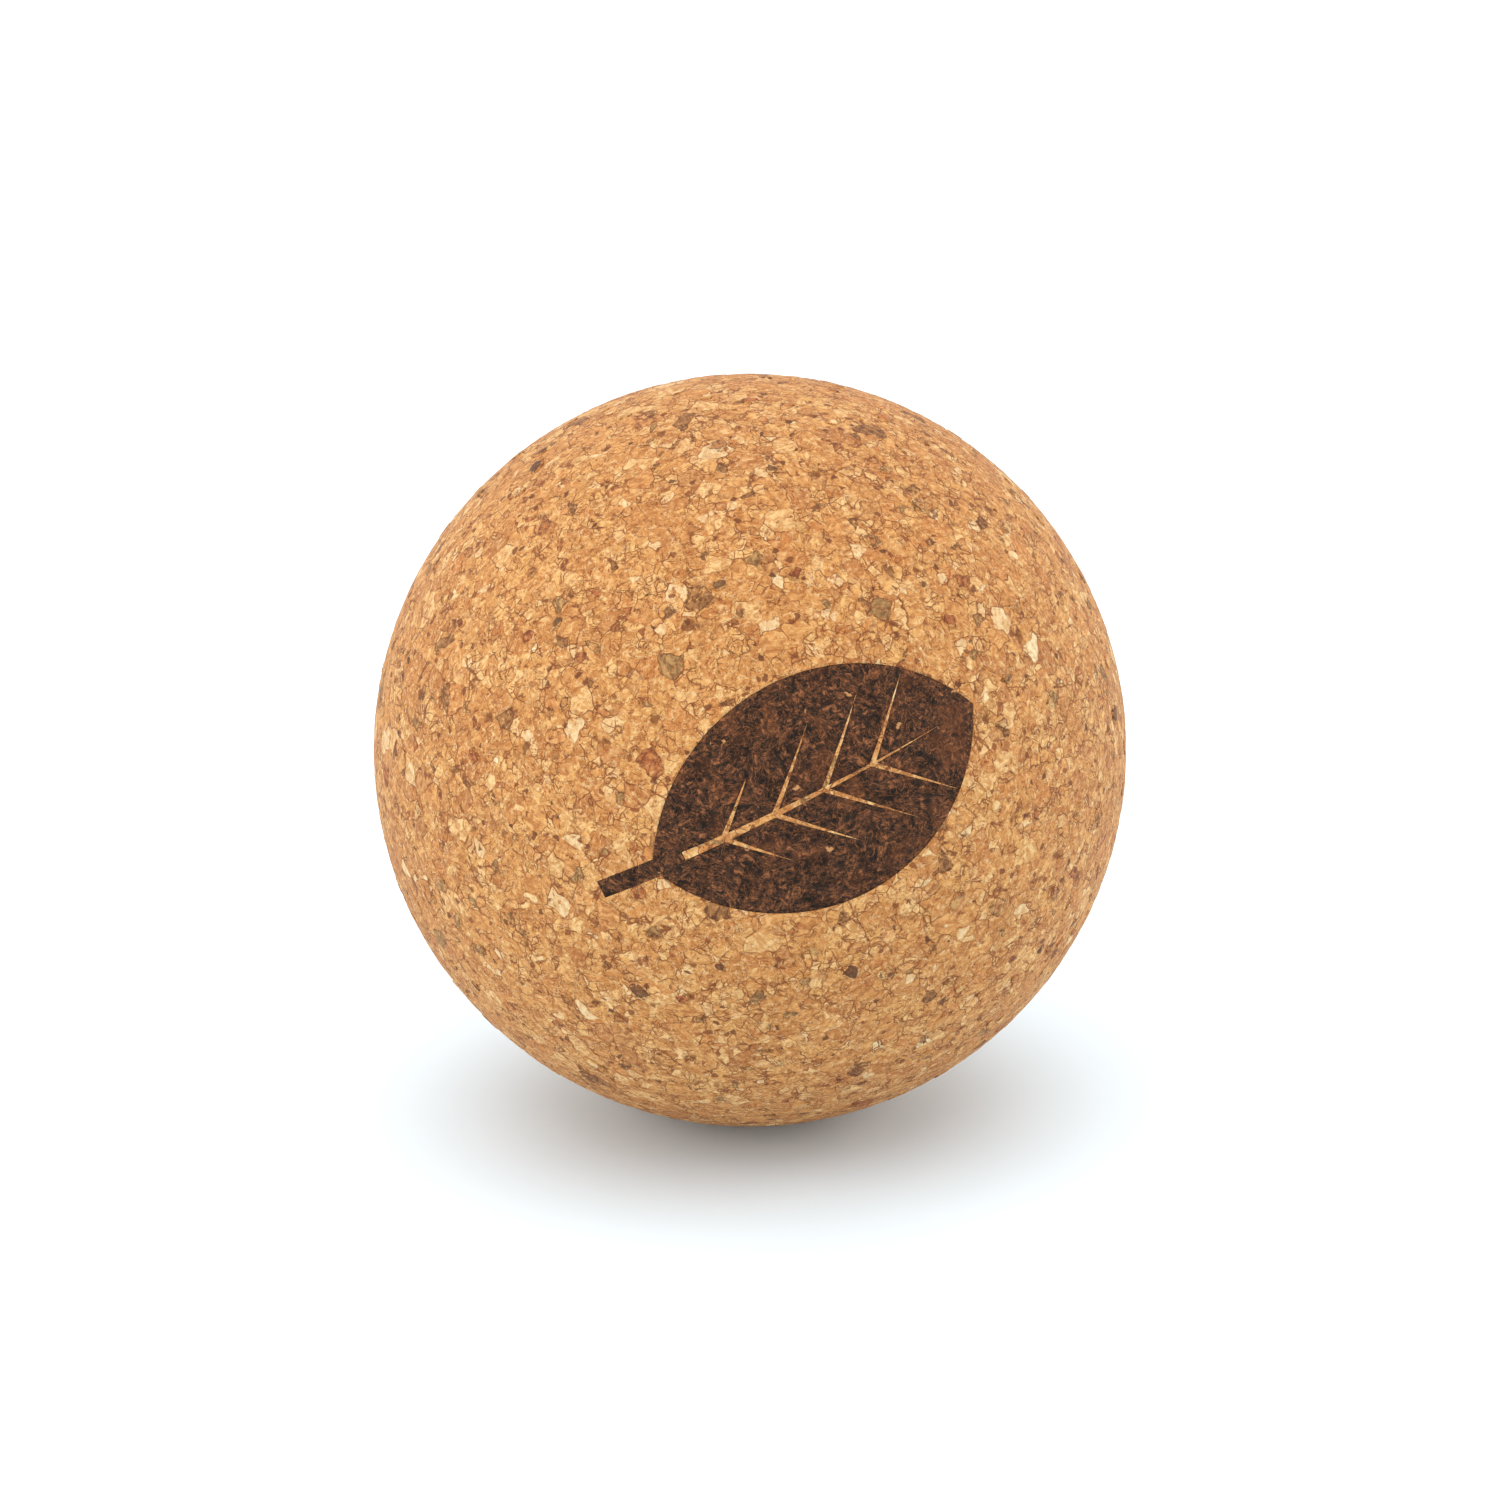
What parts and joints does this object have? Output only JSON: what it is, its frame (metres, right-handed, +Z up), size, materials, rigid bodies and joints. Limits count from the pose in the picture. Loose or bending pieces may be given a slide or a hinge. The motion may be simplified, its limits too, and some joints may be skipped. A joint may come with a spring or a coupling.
{
  "type": "massage ball",
  "caption": "Solid pressed-cork massage ball for rolling tight muscles, with coarse bark granules and a plain leaf emblem burnt into one side.",
  "frame": {"origin": "centre of the ball", "axes": "+Z up as the ball lies; -Y towards the side with the burnt emblem, which faces a little upwards; +X to the right of that side"},
  "size_m": [0.065, 0.0649, 0.065],
  "materials": {
    "cork": "matt, sanded pressed cork",
    "charred_cork": "matt, burnt near-black brown",
    "dark_bark": "matt, dark brown bark",
    "grey_bark": "matt, grey-brown bark",
    "red_bark": "matt, red-brown bark",
    "pale_cork": "matt, pale cream cork"
  },
  "bodies": {
    "root": {"cork_ball": "cork", "burnt_mark": "charred_cork", "bark_granules": "dark_bark", "grey_granules": "grey_bark", "red_granules": "red_bark", "pale_granules": "pale_cork"}
  },
  "joints": []
}
